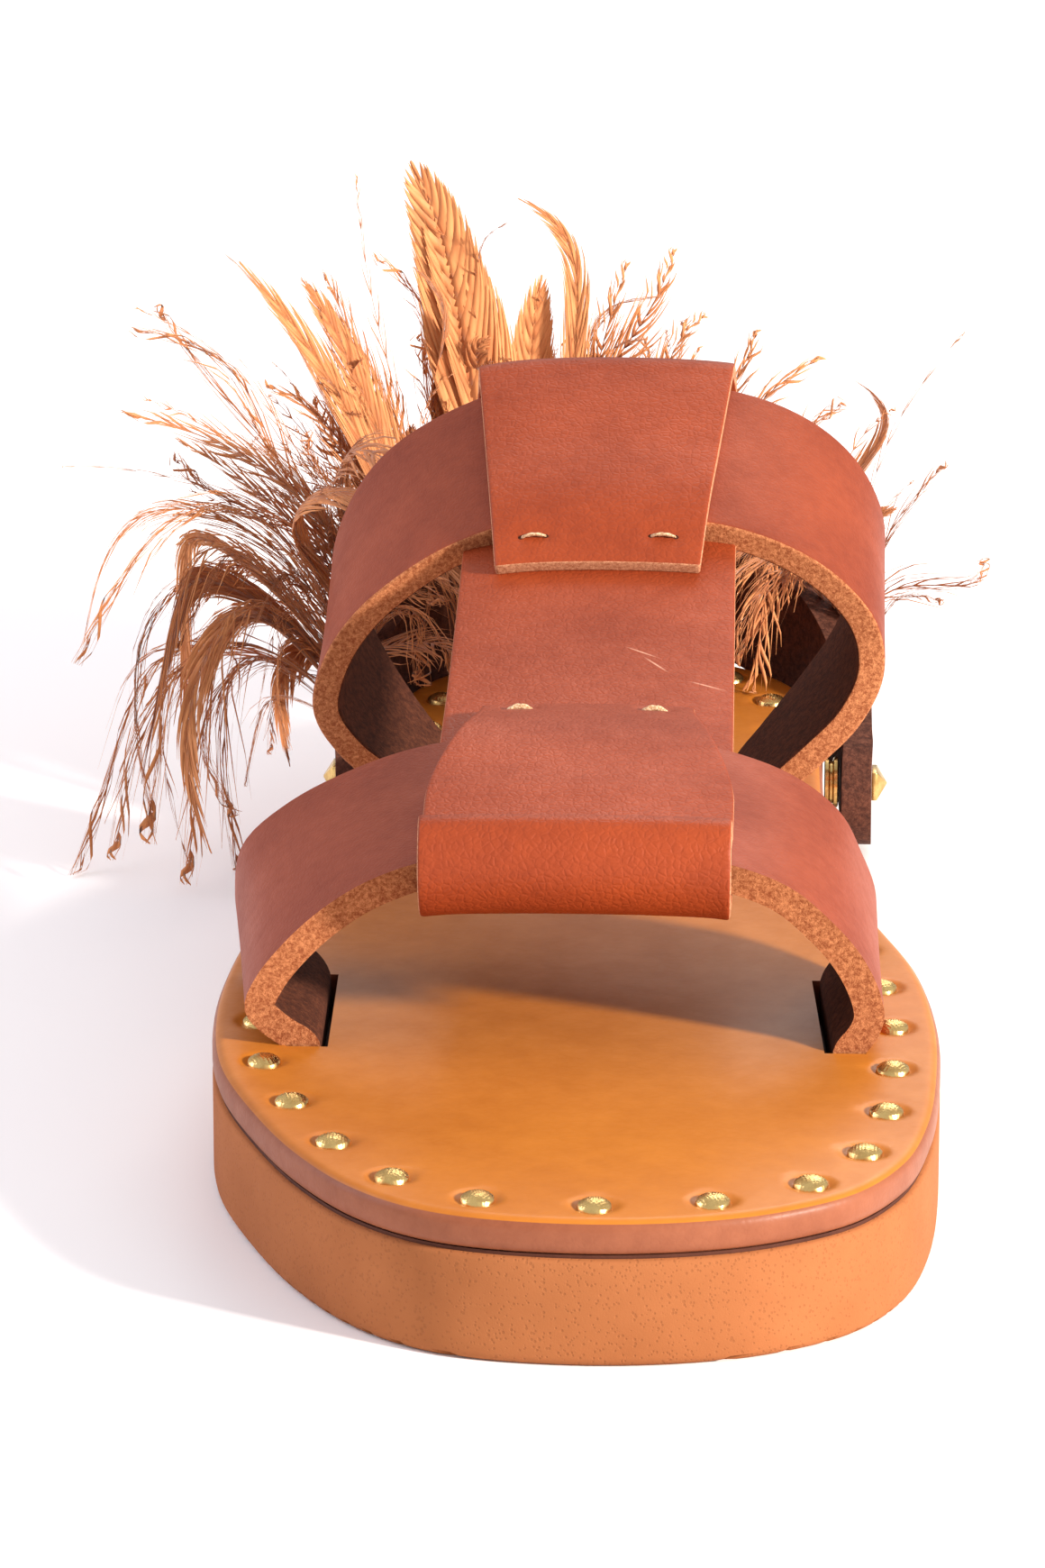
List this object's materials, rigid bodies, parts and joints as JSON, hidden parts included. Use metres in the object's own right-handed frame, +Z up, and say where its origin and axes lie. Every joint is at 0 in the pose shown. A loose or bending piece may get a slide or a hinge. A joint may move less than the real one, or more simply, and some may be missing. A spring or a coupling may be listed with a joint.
{
  "type": "slide sandal",
  "caption": "Flat leather slide sandal, right foot: two wide arched straps joined by a folded centre strip, thick flat sole, brass-studded footbed and a feather-trimmed heel strap.",
  "frame": {"origin": "centre of the flat underside of the sole, at half the sole's length", "axes": "+Z up, -Y towards the toe, +X towards the big-toe (medial) side of this right shoe"},
  "size_m": [0.1388, 0.2879, 0.1008],
  "materials": {
    "sole_rubber": "matt tan foam rubber with fine pores",
    "footbed_leather": "smooth golden tan leather, soft gloss, browner rounded edge",
    "strap_leather": "smooth chestnut bridle leather, raw fibrous edges, dark brown inside",
    "heel_leather": "dark brown soft leather",
    "brass": "bright brass, small studs cross-knurled",
    "feather": "soft copper and brown plumes with loose barbs"
  },
  "bodies": {
    "root": {"sole": "sole_rubber", "footbed": "footbed_leather", "upper": "strap_leather", "heel_strap": "heel_leather", "spacer_medial": "brass", "spacer_lateral": "brass", "stud_medial": "brass", "stud_lateral": "brass", "feathers_medial": "feather", "feathers_back_medial": "feather", "feathers_back_lateral": "feather", "feathers_lateral": "feather", "feathers_side": "feather", "footbed_stud_01": "brass", "footbed_stud_02": "brass", "footbed_stud_03": "brass", "footbed_stud_04": "brass", "footbed_stud_05": "brass", "footbed_stud_06": "brass", "footbed_stud_07": "brass", "footbed_stud_08": "brass", "footbed_stud_09": "brass", "footbed_stud_10": "brass", "footbed_stud_11": "brass", "footbed_stud_12": "brass", "footbed_stud_13": "brass", "footbed_stud_14": "brass", "footbed_stud_15": "brass", "footbed_stud_16": "brass", "footbed_stud_17": "brass", "footbed_stud_18": "brass", "footbed_stud_19": "brass", "footbed_stud_20": "brass", "footbed_stud_21": "brass", "footbed_stud_22": "brass", "footbed_stud_23": "brass", "footbed_stud_24": "brass", "footbed_stud_25": "brass", "footbed_stud_26": "brass", "footbed_stud_27": "brass", "footbed_stud_28": "brass", "footbed_stud_29": "brass", "footbed_stud_30": "brass", "footbed_stud_31": "brass", "footbed_stud_32": "brass", "footbed_stud_33": "brass", "footbed_stud_34": "brass", "footbed_stud_35": "brass"}
  },
  "joints": []
}
